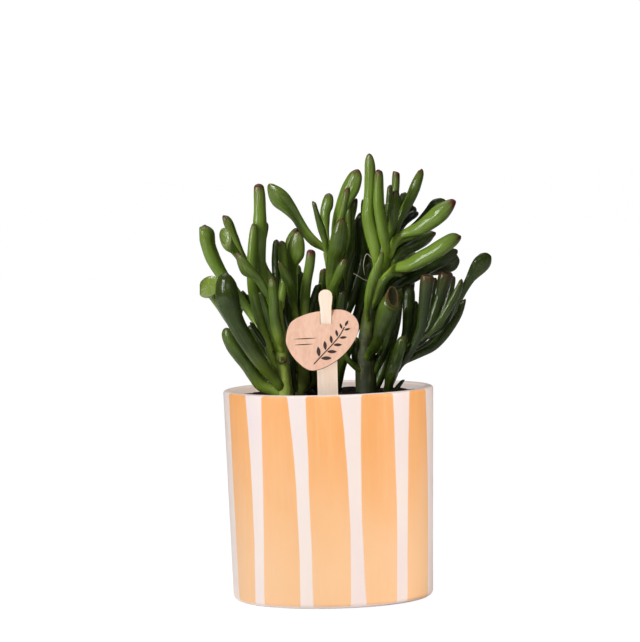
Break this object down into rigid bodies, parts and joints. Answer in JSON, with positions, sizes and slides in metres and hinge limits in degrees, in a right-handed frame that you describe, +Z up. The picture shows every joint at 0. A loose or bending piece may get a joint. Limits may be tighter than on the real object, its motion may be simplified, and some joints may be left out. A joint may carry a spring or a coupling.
{
  "type": "potted trumpet jade",
  "caption": "Succulent with finger-like leaves ending in small cups, on short thick stems, in a tapered striped ceramic pot with soil and a wooden plant tag.",
  "frame": {"origin": "centre of the pot's flat underside", "axes": "+Z up along the pot's axis; -Y is the front, where the wooden tag stands; +X is to the right seen from the front"},
  "size_m": [0.146, 0.105, 0.2215],
  "materials": {
    "pot_glaze": "satin glaze, painted orange stripes on a pale pinkish white",
    "potting_soil": "matt, dark moist compost with a few white grains",
    "stem": "satin green skin with leaf scars",
    "leaf": "glossy waxy green with brownish red rims at the cups",
    "stick_wood": "bare pale plywood",
    "tag_wood": "bare pinkish plywood with a scorched edge"
  },
  "bodies": {
    "root": {"pot": "pot_glaze", "potting_soil": "potting_soil", "left_stem": "stem", "left_rear_stem": "stem", "middle_stem": "stem", "right_trunk": "stem", "right_side_stem": "stem", "left_leaf_01": "leaf", "left_leaf_02": "leaf", "left_leaf_03": "leaf", "left_leaf_04": "leaf", "left_leaf_05": "leaf", "left_leaf_06": "leaf", "left_leaf_07": "leaf", "left_leaf_08": "leaf", "left_leaf_09": "leaf", "left_leaf_10": "leaf", "left_leaf_11": "leaf", "left_leaf_12": "leaf", "left_rear_leaf_01": "leaf", "left_rear_leaf_02": "leaf", "left_rear_leaf_03": "leaf", "left_rear_leaf_04": "leaf", "left_rear_leaf_05": "leaf", "left_rear_leaf_06": "leaf", "middle_leaf_01": "leaf", "middle_leaf_02": "leaf", "middle_leaf_03": "leaf", "middle_leaf_04": "leaf", "middle_leaf_05": "leaf", "middle_leaf_06": "leaf", "middle_leaf_07": "leaf", "middle_leaf_08": "leaf", "middle_leaf_09": "leaf", "middle_leaf_10": "leaf", "middle_leaf_11": "leaf", "right_leaf_01": "leaf", "right_leaf_02": "leaf", "right_leaf_03": "leaf", "right_leaf_04": "leaf", "right_leaf_05": "leaf", "right_leaf_06": "leaf", "right_leaf_07": "leaf", "right_leaf_08": "leaf", "right_leaf_09": "leaf", "right_leaf_10": "leaf", "right_leaf_11": "leaf", "right_leaf_12": "leaf", "right_leaf_13": "leaf", "right_leaf_14": "leaf", "right_leaf_15": "leaf", "right_side_leaf_01": "leaf", "right_side_leaf_02": "leaf", "right_side_leaf_03": "leaf", "right_side_leaf_04": "leaf", "right_side_leaf_05": "leaf", "right_side_leaf_06": "leaf", "right_side_leaf_07": "leaf", "wooden_stick": "stick_wood", "plant_tag": "tag_wood"}
  },
  "joints": []
}
